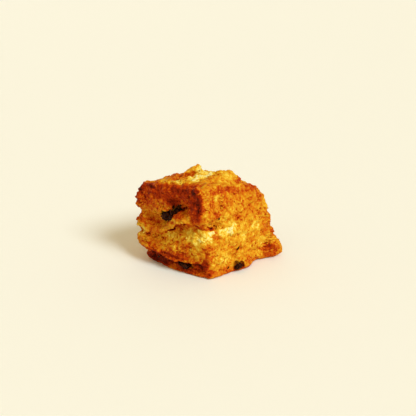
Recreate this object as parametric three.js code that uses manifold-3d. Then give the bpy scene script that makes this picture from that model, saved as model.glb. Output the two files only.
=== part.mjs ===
// A square-cut raisin scone that has leant over and burst as it rose: one body of baked dough,
// and raisins that sit in pockets of its walls. Millimetres, +Z up, standing on its flat foot.
import * as THREE from "three";
import { mergeVertices } from "three/addons/utils/BufferGeometryUtils.js";
import Module from "manifold-3d";

const wasm = await Module();
wasm.setup();

const { clamp, lerp, smoothstep } = THREE.MathUtils;

// ---------- Driving dimensions ----------

// Where each upright edge of the square stands in plan, at the foot, the waist and the shoulder.
// The block leans towards its left edge as it rises, and its right edge draws in.
const WAIST_HEIGHT = 24;
const SHOULDER_HEIGHT = 46;
const edges = {
  front: { foot: [23.4, -25.0], waist: [22.0, -27.2], shoulder: [19.6, -28.6] },
  right: { foot: [24.6, 24.4], waist: [22.6, 21.6], shoulder: [17.6, 16.0] },
  back: { foot: [-21.0, 22.0], waist: [-25.0, 16.5], shoulder: [-20.5, 11.5] },
  left: { foot: [-20.6, -32.4], waist: [-28.0, -35.4], shoulder: [-25.3, -32.1] },
};

const rimHeight = { front: 50.5, right: 40.5, back: 39.5, left: 43.2 }; // over each upright edge
const CROWN = 5.2; // rise of the top's middle above the rim

const HALF_SIDE = 25; // nominal, to turn a length into a share of the square
const edgeRadius = { front: 3.4, right: 5.5, back: 5.5, left: 5.0 }; // of the upright edges
const FOOT_RADIUS = 2.0;

// The rounding where the walls turn into the top: the near wall's rim is crisp, the far wall's is
// softer, and the right edge's shoulder is the roundest.
const rimInset = { near: 2.0, far: 3.4, right: 7.5 };
const RIM_DROP_SHARE = 1.2; // the height of the rounding, as a share of the inset
const MOST_RIM_DROP = 4.2;

const FACETS_ALONG = 22; // along each wall
const FACETS_UP = 25;
const FACETS_ROUND_FOOT = 2;
const FACETS_ROUND_RIM = 4;

// Unevenness all over the crust: the spacing and height of big lumps and of smaller ones on them.
const lumpSizes = [
  { spacing: 9.5, height: 1.1 },
  { spacing: 5.0, height: 0.55 },
];

// A place on the walls is [around, height] in millimetres. Around runs from the front edge, to
// +50 at the right edge and +100 at the back edge, and to -50 at the left edge and -100 at the
// back edge again.
const WALL_LENGTH = 2 * HALF_SIDE;

// Folds where layers of dough have parted: a path, the depth, and how far each fold opens above
// and below its path.
const folds = [
  // the crease that the big raisins sit in, from a notch in the left edge
  {
    path: [[-54, 25], [-42, 25.5], [-36, 23.5], [-29, 26], [-22, 30.5], [-14, 36]],
    depth: 4.4,
    above: 2.6,
    below: 2.0,
  },
  { path: [[-22, 37], [-17, 38]], depth: 3.0, above: 4.0, below: 3.5 },
  // a short notch below it
  { path: [[-53, 15.5], [-44, 16.5]], depth: 3.2, above: 1.6, below: 1.8 },
  // the main split, under an overhanging lip, round the front edge
  {
    path: [[-31, 17], [-23, 21], [-16, 25], [-8, 28.5], [2, 27.8], [8, 28.5]],
    depth: 3.4,
    above: 1.3,
    below: 4.5,
  },
  // the seam just above the foot's crust
  {
    path: [[-62, 5.5], [-45, 5], [-36, 3.2], [-24, 3], [-12, 3.6], [-5, 4]],
    depth: 3.4,
    above: 1.5,
    below: 1.4,
  },
  // the hidden walls: a long split, a seam and a crease
  { path: [[-100, 27], [-86, 29], [-72, 24], [-60, 24], [-54, 25]], depth: 3.6, above: 1.8, below: 3.0 },
  { path: [[92, 5], [78, 4.5], [66, 5]], depth: 2.2, above: 1.4, below: 1.4 },
  { path: [[62, 22], [72, 19], [84, 21], [93, 25]], depth: 2.6, above: 1.6, below: 2.6 },
];

// Swellings and hollows: where, how far they stand proud, and how far they spread each way.
const swellings = [
  { at: [-25, 9], rise: 3.3, along: 17, up: 9 }, // belly of the near wall
  { at: [-25, 0], rise: 2.6, along: 20, up: 2.2 }, // crust of the foot below it
  { at: [-22, 30], rise: 1.2, along: 14, up: 16 },
  { at: [-33, 37], rise: 0.9, along: 8, up: 6 }, // the upper block
  { at: [-18, 29], rise: 2.2, along: 11, up: 3.6 }, // lip over the main split
  { at: [-37, 28], rise: -1.2, along: 8, up: 4 }, // hollow that leads to the big raisins
  { at: [-47, 20.5], rise: -0.8, along: 5, up: 3 },
  { at: [7, 0], rise: 1.1, along: 12, up: 4 }, // lumps along the foot of the right wall
  { at: [24, 1], rise: 3.0, along: 8, up: 6 },
  { at: [24, 24], rise: 1.6, along: 17, up: 18 },
  { at: [33, 2], rise: -1.6, along: 4, up: 6 },
  { at: [48, 5], rise: 5.4, along: 7, up: 7 }, // the lobe at the foot of the right edge
  { at: [50, 17], rise: -0.9, along: 6, up: 3.5 },
  { at: [75, 16], rise: 2.0, along: 17, up: 14 },
  { at: [75, 34], rise: 1.2, along: 14, up: 8 },
  { at: [-75, 12], rise: 2.4, along: 18, up: 10 },
  { at: [-74, 33], rise: 1.6, along: 14, up: 8 },
];

// The torn top, in plan: a fissure from the near rim towards the back, with a flap of crust
// raised along its left side and a mound on its right.
const tears = [
  { path: [[-5, -21], [-2, -13], [-1.5, -7], [0.5, 0], [2, 8]], rise: -4.2, reach: 2.2 },
  { path: [[-9, -13], [-7, -8]], rise: 2.4, reach: 3.2 },
  { path: [[-6, -7], [-5.5, -6]], rise: 2.2, reach: 1.9 },
  { path: [[8, -2], [8, 5]], rise: 4.2, reach: 6.5 },
];

// Raisins: the place on the walls, half sizes (along the wall, up it and through it), how far
// the middle lies below the surface, and the tilt in degrees.
const raisins = {
  raisin_crease_left: { at: [-27.0, 28.8], half: [3.7, 3.1, 2.9], sunk: 0.0, tilt: 22 },
  raisin_crease_right: { at: [-20.5, 32.1], half: [3.7, 2.1, 2.4], sunk: 0.1, tilt: 26 },
  raisin_seam: { at: [-17.4, 4.7], half: [4.6, 2.2, 2.6], sunk: 0.7, tilt: -4 },
  raisin_foot: { at: [19, 2.9], half: [3.1, 1.7, 2.2], sunk: 0.6, tilt: 8 },
  raisin_back: { at: [78, 20], half: [4.0, 2.4, 2.5], sunk: 0.7, tilt: -20 },
  raisin_side: { at: [-79, 27], half: [3.8, 2.6, 2.6], sunk: 0.9, tilt: 15 },
};
const RAISIN_GAP = 0.3;
const RAISIN_WRINKLES = 7;
const WRINKLE_DEPTH = 0.09; // as a share of the raisin's radius
const WRINKLE_TWIST = 2.5; // how far the wrinkles turn over half the raisin's length, in radians
const RAISIN_FACETS_ROUND = 14;
const RAISIN_FACETS_LONG = 9;

// ---------- The outline ----------

// The parabola through an edge's three stations, at height z.
function edgeAt(edge, z) {
  const atWaist = (z * (z - SHOULDER_HEIGHT)) / (WAIST_HEIGHT * (WAIST_HEIGHT - SHOULDER_HEIGHT));
  const atShoulder = (z * (z - WAIST_HEIGHT)) / (SHOULDER_HEIGHT * (SHOULDER_HEIGHT - WAIST_HEIGHT));
  const atFoot = 1 - atWaist - atShoulder;
  return [0, 1].map(
    (axis) => atFoot * edge.foot[axis] + atWaist * edge.waist[axis] + atShoulder * edge.shoulder[axis],
  );
}

// A value given at the four upright edges, anywhere on the square. u runs from the left wall to
// the right one and v from the near wall to the far one, both from -1 to 1.
function overSquare(values, u, v) {
  const near = lerp(values.left, values.front, (u + 1) / 2);
  const far = lerp(values.back, values.right, (u + 1) / 2);
  return lerp(near, far, (v + 1) / 2);
}

function planPoint(u, v, z) {
  const stands = Object.fromEntries(Object.entries(edges).map(([name, edge]) => [name, edgeAt(edge, z)]));
  return [0, 1].map((axis) => {
    const values = Object.fromEntries(Object.entries(stands).map(([name, point]) => [name, point[axis]]));
    return overSquare(values, u, v);
  });
}

function topHeight(u, v) {
  return overSquare(rimHeight, u, v) + CROWN * (1 - Math.abs(u) ** 3) * (1 - Math.abs(v) ** 3);
}

function edgeRadiusAt(u, v) {
  if (v < 0) return u > 0 ? edgeRadius.front : edgeRadius.left;
  return u > 0 ? edgeRadius.right : edgeRadius.back;
}

// The square with rounded edges: the point of it, and the way its wall faces there.
function roundedSquare(u, v) {
  const radius = edgeRadiusAt(u, v) / HALF_SIDE;
  const straight = 1 - radius;
  const du = u - clamp(u, -straight, straight);
  const dv = v - clamp(v, -straight, straight);
  const length = Math.hypot(du, dv) || 1;
  const shift = du !== 0 && dv !== 0 ? radius / length - 1 : 0;
  return { u: u + du * shift, v: v + dv * shift, facing: [du / length, dv / length] };
}

// Distance round the walls from the front edge to the wall behind the point (u, v).
function aroundAt(u, v) {
  const edge = Math.max(Math.abs(u), Math.abs(v)) || 1;
  const [a, b] = [u / edge, v / edge];
  if (b <= -1) return HALF_SIDE * (a - 1);
  if (a >= 1) return HALF_SIDE * (b + 1);
  if (b >= 1) return WALL_LENGTH + HALF_SIDE * (1 - a);
  return -WALL_LENGTH - HALF_SIDE * (b + 1);
}

// The point (u, v) of the square's outline at a distance round the walls.
function squareAt(around) {
  if (around < -WALL_LENGTH) return [-1, -1 - (around + WALL_LENGTH) / HALF_SIDE];
  if (around < 0) return [1 + around / HALF_SIDE, -1];
  if (around < WALL_LENGTH) return [1, around / HALF_SIDE - 1];
  return [1 - (around - WALL_LENGTH) / HALF_SIDE, 1];
}

// ---------- The relief ----------

function wrapped(distance) {
  const round = 4 * WALL_LENGTH;
  return distance - round * Math.round(distance / round);
}

// How far `place` is from a path, and whether it lies above the nearest point of the path.
function nearestOnPath(place, path, difference) {
  let best = { distance: Infinity };
  for (let i = 0; i + 1 < path.length; i += 1) {
    const span = [path[i + 1][0] - path[i][0], path[i + 1][1] - path[i][1]];
    const offset = [difference(place[0] - path[i][0]), place[1] - path[i][1]];
    const share = clamp((offset[0] * span[0] + offset[1] * span[1]) / (span[0] ** 2 + span[1] ** 2), 0, 1);
    const aside = [offset[0] - share * span[0], offset[1] - share * span[1]];
    const distance = Math.hypot(...aside);
    if (distance < best.distance) best = { distance, above: aside[1] > 0 };
  }
  return best;
}

function bell(x) {
  return Math.exp(-x * x);
}

function wallRelief(around, z) {
  let relief = 0;
  for (const swelling of swellings) {
    const along = wrapped(around - swelling.at[0]) / swelling.along;
    relief += swelling.rise * bell(along) * bell((z - swelling.at[1]) / swelling.up);
  }
  for (const fold of folds) {
    const near = nearestOnPath([around, z], fold.path, wrapped);
    relief -= fold.depth * bell(near.distance / (near.above ? fold.above : fold.below));
  }
  return relief;
}

function topRelief(x, y) {
  const plain = (distance) => distance;
  return tears.reduce((sum, tear) => {
    const near = nearestOnPath([x, y], tear.path, plain);
    return sum + tear.rise * bell(near.distance / tear.reach);
  }, 0);
}

// A value from -1 to 1 for each corner of a unit lattice, the same each time.
function latticeValue(i, j, k) {
  const scrambled = Math.sin(i * 127.1 + j * 311.7 + k * 74.7) * 43758.5453;
  return 2 * (scrambled - Math.floor(scrambled)) - 1;
}

// The lattice's values blended smoothly in between.
function noise(x, y, z) {
  const [i, j, k] = [x, y, z].map(Math.floor);
  const [a, b, c] = [x - i, y - j, z - k].map((t) => t * t * (3 - 2 * t));
  const row = (dj, dk) => lerp(latticeValue(i, j + dj, k + dk), latticeValue(i + 1, j + dj, k + dk), a);
  const layer = (dk) => lerp(row(0, dk), row(1, dk), b);
  return lerp(layer(0), layer(1), c);
}

function lumps(x, y, z) {
  const sum = lumpSizes.reduce(
    (total, { spacing, height }) => total + height * noise(x / spacing, y / spacing, z / spacing),
    0,
  );
  return sum * smoothstep(z, 0.5, 7);
}

// ---------- The body ----------

// The wall's section from the flat of the foot to the top: a height above the foot, a share of
// the straight wall or a drop below the rim, with the inset and how far the skin faces up.
function wallSection(inset) {
  const drop = Math.min(MOST_RIM_DROP, RIM_DROP_SHARE * inset);
  const section = [];
  for (let row = 0; row <= FACETS_ROUND_FOOT; row += 1) {
    const angle = ((row / FACETS_ROUND_FOOT) * Math.PI) / 2;
    section.push({
      z: () => FOOT_RADIUS * (1 - Math.cos(angle)),
      inset: FOOT_RADIUS * (1 - Math.sin(angle)),
      up: 0,
    });
  }
  for (let row = 1; row < FACETS_UP; row += 1) {
    section.push({ z: (rim) => lerp(FOOT_RADIUS, rim - drop, row / FACETS_UP), inset: 0, up: 0 });
  }
  for (let row = 0; row <= FACETS_ROUND_RIM; row += 1) {
    const angle = ((row / FACETS_ROUND_RIM) * Math.PI) / 2;
    section.push({
      z: (rim) => rim - drop * (1 - Math.sin(angle)),
      inset: inset * (1 - Math.cos(angle)),
      up: Math.sin(angle),
    });
  }
  return section;
}

function rimInsetAt(u, v) {
  const far = lerp(rimInset.far, rimInset.right, smoothstep(u, 0, 1));
  return lerp(rimInset.near, far, smoothstep(v, -1.3, 0.7));
}

// One point of the skin: of the walls, where (u, v) is on the square's outline, or of the top.
function skin(u, v, station) {
  const outline = roundedSquare(u, v);
  const keep = 1 - station.inset / HALF_SIDE;
  const height = station.z(topHeight(outline.u, outline.v));
  const [x, y] = planPoint(outline.u * keep, outline.v * keep, height);
  const uneven = lumps(x, y, height);
  const push = (1 - station.up) * (wallRelief(aroundAt(u, v), height) + uneven);
  const lift = station.up * (topRelief(x, y) + uneven);
  return [x + outline.facing[0] * push, y + outline.facing[1] * push, height + lift];
}

// Grid lines along one wall, a little closer together near the upright edges.
function gridLine(index) {
  const share = (2 * index) / FACETS_ALONG - 1;
  return 0.75 * share + 0.25 * Math.sin((share * Math.PI) / 2);
}

function doughBody() {
  const quads = [];
  const rows = wallSection(rimInset.near).length;
  const wall = ([u, v], row) => skin(u, v, wallSection(rimInsetAt(u, v))[row]);
  const top = (u, v) => skin(u, v, wallSection(rimInsetAt(u, v)).at(-1));
  const walls = [(t) => [t, -1], (t) => [1, t], (t) => [-t, 1], (t) => [-1, -t]];
  for (const along of walls) {
    for (let column = 0; column < FACETS_ALONG; column += 1) {
      const here = along(gridLine(column));
      const next = along(gridLine(column + 1));
      for (let row = 0; row + 1 < rows; row += 1) {
        quads.push([wall(here, row), wall(next, row), wall(next, row + 1), wall(here, row + 1)]);
      }
    }
  }
  for (let i = 0; i < FACETS_ALONG; i += 1) {
    for (let j = 0; j < FACETS_ALONG; j += 1) {
      const square = [[i, j], [i + 1, j], [i + 1, j + 1], [i, j + 1]];
      quads.push(square.map(([a, b]) => top(gridLine(a), gridLine(b))));
    }
  }
  const middle = [...planPoint(0, 0, 0), 0];
  const foot = quads.filter((quad, i) => i < 4 * FACETS_ALONG * (rows - 1) && i % (rows - 1) === 0);
  const fan = foot.flatMap(([here, next]) => [middle, next, here]);
  const points = [...quads.flatMap(([a, b, c, d]) => [a, b, c, a, c, d]), ...fan].flat();
  const geometry = new THREE.BufferGeometry();
  geometry.setAttribute("position", new THREE.Float32BufferAttribute(points, 3));
  return geometry;
}

// ---------- The raisins ----------

// A wrinkled dried fruit round the origin, long in x.
function raisinGeometry(half, grown) {
  const geometry = new THREE.SphereGeometry(1, RAISIN_FACETS_ROUND, RAISIN_FACETS_LONG);
  const place = geometry.attributes.position;
  for (let i = 0; i < place.count; i += 1) {
    const [x, y, z] = [place.getX(i), place.getY(i), place.getZ(i)];
    const turn = Math.atan2(z, y);
    const wrinkle = 1 + WRINKLE_DEPTH * Math.cos(RAISIN_WRINKLES * turn + WRINKLE_TWIST * x) * (1 - x * x);
    place.setXYZ(
      i,
      x * (half[0] + grown),
      y * wrinkle * (half[1] + grown),
      z * wrinkle * (half[2] + grown),
    );
  }
  return geometry;
}

// The turn and place that lay a raisin on its wall: x along the wall, y up it, z out of it.
function raisinPlacement({ at: [around, z], sunk, tilt }) {
  const [u, v] = squareAt(around);
  const outline = roundedSquare(u, v);
  const [x, y] = planPoint(outline.u, outline.v, z);
  const push = wallRelief(around, z) + lumps(x, y, z) - sunk;
  const out = new THREE.Vector3(outline.facing[0], outline.facing[1], 0);
  const up = new THREE.Vector3(0, 0, 1);
  const along = new THREE.Vector3().crossVectors(up, out);
  const matrix = new THREE.Matrix4().makeBasis(along, up, out);
  matrix.multiply(new THREE.Matrix4().makeRotationZ(THREE.MathUtils.degToRad(tilt)));
  matrix.setPosition(x + out.x * push, y + out.y * push, z);
  return matrix;
}

// ---------- Solids and meshes ----------

function solidOf(geometry) {
  geometry.deleteAttribute("normal");
  geometry.deleteAttribute("uv");
  const merged = mergeVertices(geometry, 1e-3);
  return new wasm.Manifold(
    new wasm.Mesh({
      numProp: 3,
      vertProperties: merged.attributes.position.array,
      triVerts: new Uint32Array(merged.index.array),
    }),
  );
}

function geometryOf(solid) {
  const mesh = solid.getMesh();
  const geometry = new THREE.BufferGeometry();
  geometry.setAttribute("position", new THREE.BufferAttribute(mesh.vertProperties, 3));
  geometry.setIndex(new THREE.BufferAttribute(mesh.triVerts, 1));
  return geometry;
}

const CRUST = { color: 0xd08a2c, roughness: 0.75, metalness: 0 };
const DRIED_FRUIT = { color: 0x1f1410, roughness: 0.4, metalness: 0 };

function namedMesh(name, geometry, finish) {
  const mesh = new THREE.Mesh(geometry, new THREE.MeshStandardMaterial(finish));
  mesh.name = name;
  return mesh;
}

const scone = new THREE.Group();
let dough = solidOf(doughBody());
for (const [name, raisin] of Object.entries(raisins)) {
  const placement = raisinPlacement(raisin);
  dough = dough.subtract(solidOf(raisinGeometry(raisin.half, RAISIN_GAP).applyMatrix4(placement)));
  const mesh = namedMesh(name, raisinGeometry(raisin.half, 0), DRIED_FRUIT);
  mesh.applyMatrix4(placement);
  scone.add(mesh);
}
scone.add(namedMesh("scone_body", geometryOf(dough), CRUST));

// The part's origin is the middle of its box, on the surface it stands on.
const middle = new THREE.Box3().setFromObject(scone, true).getCenter(new THREE.Vector3());
scone.position.set(-middle.x, -middle.y, 0);
const group = new THREE.Group();
group.add(scone);

export default group;
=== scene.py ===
"""A square-cut raisin scone that has leant and burst as it rose, on a pale table in soft light.

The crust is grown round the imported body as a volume, so that crumbs, splits and curled flakes
have real undercuts. Lengths are millimetres in the tables and fields, and metres in Blender.
"""

from math import cos, pi, radians, sin

import bmesh
import bpy
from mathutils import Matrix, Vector


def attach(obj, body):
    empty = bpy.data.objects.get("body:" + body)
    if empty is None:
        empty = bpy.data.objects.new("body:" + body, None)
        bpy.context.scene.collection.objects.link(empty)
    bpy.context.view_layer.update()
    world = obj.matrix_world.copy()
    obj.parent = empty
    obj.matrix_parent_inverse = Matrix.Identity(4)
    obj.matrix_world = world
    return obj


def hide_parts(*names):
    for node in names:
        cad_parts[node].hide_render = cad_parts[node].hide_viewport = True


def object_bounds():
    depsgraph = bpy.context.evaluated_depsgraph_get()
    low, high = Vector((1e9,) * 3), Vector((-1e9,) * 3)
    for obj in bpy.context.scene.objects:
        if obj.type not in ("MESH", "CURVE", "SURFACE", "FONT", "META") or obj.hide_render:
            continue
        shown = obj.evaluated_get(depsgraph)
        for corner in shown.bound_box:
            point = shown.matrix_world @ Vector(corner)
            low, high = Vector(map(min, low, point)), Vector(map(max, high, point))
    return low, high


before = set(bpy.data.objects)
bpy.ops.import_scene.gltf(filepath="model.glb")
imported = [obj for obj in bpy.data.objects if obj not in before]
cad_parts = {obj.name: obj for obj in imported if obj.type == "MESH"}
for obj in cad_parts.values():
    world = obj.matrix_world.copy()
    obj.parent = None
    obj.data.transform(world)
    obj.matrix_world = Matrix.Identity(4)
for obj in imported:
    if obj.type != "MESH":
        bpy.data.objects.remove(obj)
cad_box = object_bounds()

MM = 0.001
FULL_TURN = 6.28  # radians

# ---------- Driving sizes ----------

VOXEL = 0.4  # of the volume the crust is grown in
MARGIN = 2.5  # of that volume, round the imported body
DEEPEST = 2.0  # depth, on either side of the skin, past which that volume stays the same
DRAWN_IN = 0.3  # how far the whole skin is drawn in, to make room for its relief
RAISIN_CLEARANCE = 0.15  # between a raisin and the crust round it
MOST_TRIANGLES = 190_000  # of the crust
LAYER = 1.5  # thickness of the dough's thinnest layers

# How high each kind of relief stands on the crust, from its broad swells to its pits.
relief_heights = {
    "Coarse": 1.6,
    "Granules": 2.2,
    "Crumbs": 0.3,
    "Curls": 0.75,
    "Streaks": 0.8,
    "Ledges": 1.3,
    "Pits": 0.3,
}

# Grains and flakes on the crust: how many there are to a square millimetre, how far across the
# smallest and the largest are, and how far a flake's edge lifts, in radians.
crumb_sizes = {"Density": 0.035, "Smallest": 0.5, "Largest": 1.5}
flake_sizes = {"Density": 0.02, "Smallest": 1.3, "Largest": 3.2, "Lift": 0.28}

# How deep the skin of the dried fruit is folded.
raisin_sizes = {"Fold": 1.1}
bit_sizes = {"Fold": 0.5}

# Splits between the layers of dough: the path of the mouth, the way in, how deep the split goes,
# half its width at the mouth, and how far the layer above stands out as a lip.
splits = {
    "main": dict(
        path=[
            (-5.0, -26.8, 20.0),
            (-1.0, -26.2, 22.2),
            (2.5, -25.8, 25.0),
            (5.5, -25.6, 27.2),
            (8.7, -25.4, 28.4),
            (12.0, -24.6, 28.8),
            (16.0, -23.6, 28.0),
        ],
        inward=(0.0, 1.0, 0.35),
        deep=5.0,
        half=1.0,
        lip=1.6,
    ),
    "main round the front edge": dict(
        path=[(15.0, -23.0, 28.4), (18.6, -20.2, 27.2), (19.8, -16.5, 26.6), (20.4, -13.6, 27.0)],
        inward=(-1.0, 0.5, 0.2),
        deep=2.5,
        half=0.4,
        lip=0.6,
    ),
    "crease left of the raisins": dict(
        path=[(-18.0, -28.4, 23.4), (-15.4, -27.8, 22.8), (-12.8, -26.6, 22.8)],
        inward=(0.15, 1.0, 0.1),
        deep=2.0,
        half=0.35,
        lip=0.0,
    ),
    "crease right of the raisins": dict(
        path=[(1.5, -24.8, 33.6), (3.6, -22.8, 34.2), (7.0, -21.4, 35.8)],
        inward=(0.2, 1.0, 0.3),
        deep=3.0,
        half=0.6,
        lip=0.3,
    ),
    "notch": dict(
        path=[(-25.0, -29.0, 17.2), (-19.5, -30.6, 17.0), (-15.5, -30.4, 16.4)],
        inward=(0.1, 1.0, 0.1),
        deep=3.0,
        half=0.5,
        lip=0.4,
    ),
    "left wall, up high": dict(
        path=[(-25.4, -18.0, 24.6), (-25.4, -6.0, 25.2), (-25.0, 5.0, 26.0), (-23.2, 14.0, 27.2)],
        inward=(1.0, 0.1, 0.3),
        deep=4.0,
        half=0.8,
        lip=1.0,
    ),
    "left wall, low down": dict(
        path=[(-24.4, -20.0, 7.0), (-25.2, -8.0, 7.0), (-25.6, 6.0, 7.3), (-24.6, 18.0, 7.0)],
        inward=(1.0, 0.0, 0.1),
        deep=3.5,
        half=0.6,
        lip=0.6,
    ),
    "back wall, up high": dict(
        path=[(-14.0, 22.0, 29.6), (-4.0, 24.0, 27.0), (6.0, 25.8, 25.6), (14.0, 25.8, 26.6)],
        inward=(0.0, -1.0, 0.3),
        deep=4.0,
        half=0.8,
        lip=1.2,
    ),
    "back wall, low down": dict(
        path=[(-20.0, 25.4, 7.0), (-8.0, 27.2, 8.0), (6.0, 28.3, 7.2), (18.0, 29.0, 6.2)],
        inward=(0.0, -1.0, 0.1),
        deep=3.5,
        half=0.5,
        lip=0.6,
    ),
    "seam above the foot": dict(
        path=[
            (-20.0, -29.4, 9.6),
            (-16.2, -30.6, 8.6),
            (-11.8, -30.2, 8.0),
            (-8.3, -29.6, 7.3),
            (-4.8, -29.1, 6.4),
            (0.4, -28.1, 5.8),
            (5.9, -27.1, 5.8),
            (10.2, -25.6, 5.8),
            (14.0, -23.9, 5.9),
            (17.5, -22.2, 6.2),
        ],
        inward=(0.0, 1.0, 0.12),
        deep=4.5,
        half=0.6,
        lip=0.7,
    ),
}

# Thin flaps of dough that stand up out of the crust: the path of the crest, the way down into the
# dough, how deep the flap is rooted, and half its thickness.
flaps = {
    "crest of the torn top": dict(
        path=[
            (-4.4, -17.5, 47.6),
            (-5.4, -13.0, 48.6),
            (-5.9, -9.0, 49.7),
            (-5.4, -5.6, 50.9),
            (-4.8, -3.2, 52.0),
            (-5.0, -1.2, 50.6),
        ],
        inward=(0.15, 0.0, -1.0),
        deep=3.0,
        half=0.45,
    ),
    "edge of the mound": dict(
        path=[(5.4, 5.2, 49.5), (7.8, 7.4, 49.3), (10.8, 10.0, 47.4)],
        inward=(0.3, -0.3, -1.0),
        deep=3.0,
        half=0.35,
    ),
}


# ---------- Node trees ----------


class Value:
    """A socket of a node tree that sums are written with."""

    def __init__(self, net, socket):
        self.net = net
        self.socket = socket

    def __add__(self, other):
        return self.net.maths("ADD", self, other)

    def __radd__(self, other):
        return self.net.maths("ADD", other, self)

    def __sub__(self, other):
        return self.net.maths("SUBTRACT", self, other)

    def __rsub__(self, other):
        return self.net.maths("SUBTRACT", other, self)

    def __mul__(self, other):
        return self.net.maths("MULTIPLY", self, other)

    def __rmul__(self, other):
        return self.net.maths("MULTIPLY", other, self)

    def __truediv__(self, other):
        return self.net.maths("DIVIDE", self, other)

    def __pow__(self, other):
        return self.net.maths("POWER", self, other)

    def __neg__(self):
        return self.net.maths("MULTIPLY", self, -1.0)

    def __abs__(self):
        return self.net.maths("ABSOLUTE", self)


def is_vector(value):
    if isinstance(value, Value):
        return value.socket.type == "VECTOR"
    return isinstance(value, tuple)


class Net:
    """A node tree, with one method that adds a node."""

    def __init__(self, tree):
        self.tree = tree

    def node(self, kind, settings=None, values=None, out=None):
        """Adds a node and gives the output named `out`, or else its first one that is in use."""
        node = self.tree.nodes.new(kind)
        for name, setting in (settings or {}).items():
            if name == "stops":
                self.set_stops(node.color_ramp, setting)
            else:
                setattr(node, name, setting)
        for key, value in (values or {}).items():
            self.feed(self.pick(node.inputs, key), value)
        if out is None:
            socket = next((s for s in node.outputs if s.enabled), None)
        else:
            socket = self.pick(node.outputs, out)
        return Value(self, socket) if socket else None

    @staticmethod
    def pick(sockets, key):
        if isinstance(key, int):
            return sockets[key]
        named = [s for s in sockets if key in (s.identifier, s.name)]
        return next((s for s in named if s.enabled), named[0])

    @staticmethod
    def set_stops(ramp, stops):
        while len(ramp.elements) > 1:
            ramp.elements.remove(ramp.elements[-1])
        for index, (place, colour) in enumerate(stops):
            element = ramp.elements[0] if index == 0 else ramp.elements.new(place)
            element.position = place
            element.color = colour

    def feed(self, socket, value):
        if isinstance(value, Value):
            self.tree.links.new(value.socket, socket)
        elif socket.type == "VECTOR" and isinstance(value, (int, float)):
            socket.default_value = (value, value, value)
        else:
            socket.default_value = value

    def maths(self, operation, *values):
        """A Math node, or a Vector Math node where any value is a vector."""
        kind = "ShaderNodeVectorMath" if any(map(is_vector, values)) else "ShaderNodeMath"
        return self.node(kind, {"operation": operation}, dict(enumerate(values)))

    def clamp(self, value, low=0.0, high=1.0):
        return self.node("ShaderNodeClamp", None, {"Value": value, "Min": low, "Max": high})

    def step(self, value, low, high):
        """0 below `low` and 1 above `high`, smooth in between."""
        return self.node(
            "ShaderNodeMapRange",
            {"interpolation_type": "SMOOTHSTEP"},
            {"Value": value, "From Min": low, "From Max": high},
        )

    def part(self, vector, axis):
        return self.node("ShaderNodeSeparateXYZ", None, {"Vector": vector}, axis)

    def random(self, low, high, seed):
        """A value for each point, between two numbers or two vectors."""
        kind = "FLOAT_VECTOR" if is_vector(low) else "FLOAT"
        values = {"Min": low, "Max": high, "Seed": seed}
        return self.node("FunctionNodeRandomValue", {"data_type": kind}, values)

    def noise(self, place, size, detail=2.0, roughness=0.5, distortion=0.0, out=0):
        """Cloudy noise with lumps of about `size`, from 0 to 1."""
        return self.node(
            "ShaderNodeTexNoise",
            None,
            {
                "Vector": place,
                "Scale": 1.0 / size,
                "Detail": detail,
                "Roughness": roughness,
                "Distortion": distortion,
            },
            out,
        )

    def cell_colour(self, place, size):
        """A colour of its own for each cell of about `size`."""
        return self.node("ShaderNodeTexVoronoi", None, {"Vector": place, "Scale": 1.0 / size}, "Color")

    def lumps(self, place, size, softness):
        """Distance to the middle of the nearest lump of about `size`, with soft creases between."""
        return self.node(
            "ShaderNodeTexVoronoi",
            {"feature": "SMOOTH_F1"},
            {"Vector": place, "Scale": 1.0 / size, "Smoothness": softness},
        )


# ---------- Objects ----------


def thinned(thing, triangles):
    """Collapses the flattest parts of a mesh of quads until it has no more triangles than that."""
    modifier = thing.modifiers.new("thinned", "DECIMATE")
    modifier.ratio = min(1.0, triangles / (2 * len(thing.data.polygons)))
    modifier.use_collapse_triangulate = True
    depsgraph = bpy.context.evaluated_depsgraph_get()
    mesh = bpy.data.meshes.new_from_object(thing.evaluated_get(depsgraph))
    thing.modifiers.remove(modifier)
    old, thing.data = thing.data, mesh
    bpy.data.meshes.remove(old)
    mesh.name = thing.name


def linked(name, mesh):
    thing = bpy.data.objects.new(name, mesh)
    bpy.context.collection.objects.link(thing)
    return thing


def merged_copy(name, *nodes):
    """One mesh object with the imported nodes' triangles welded together."""
    work = bmesh.new()
    for node in nodes:
        work.from_mesh(bpy.data.objects[node].data)
    bmesh.ops.remove_doubles(work, verts=work.verts, dist=0.001 * MM)
    mesh = bpy.data.meshes.new(name)
    work.to_mesh(mesh)
    work.free()
    return linked(name, mesh)


def sheets_of(name, rows, before, narrowest):
    """A sheet for each row, from `before` its path to as deep as the row says. It holds the half
    width at each point, which is `narrowest` along the inner edge, and the lip."""
    mesh = bpy.data.meshes.new(name)
    points, faces, halves, lips = [], [], [], []
    for row in rows.values():
        inward = Vector(row["inward"]).normalized()
        path = [Vector(point) for point in row["path"]]
        for index, point in enumerate(path):
            mouth = len(points)
            points += [(point - inward * before) * MM, (point + inward * row["deep"]) * MM]
            # A sheet is less than half as thick at its two ends.
            whole = min(1, 0.4 + 0.6 * min(index, len(path) - 1 - index))
            halves += [row["half"] * whole, narrowest]
            lips += [row.get("lip", 0.0) * whole] * 2
            if index:
                faces.append((mouth - 2, mouth, mouth + 1, mouth - 1))
    mesh.from_pydata(points, [], faces)
    for key, values in (("half", halves), ("lip", lips)):
        mesh.attributes.new(key, "FLOAT", "POINT").data.foreach_set("value", values)
    return linked(name, mesh)


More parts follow.
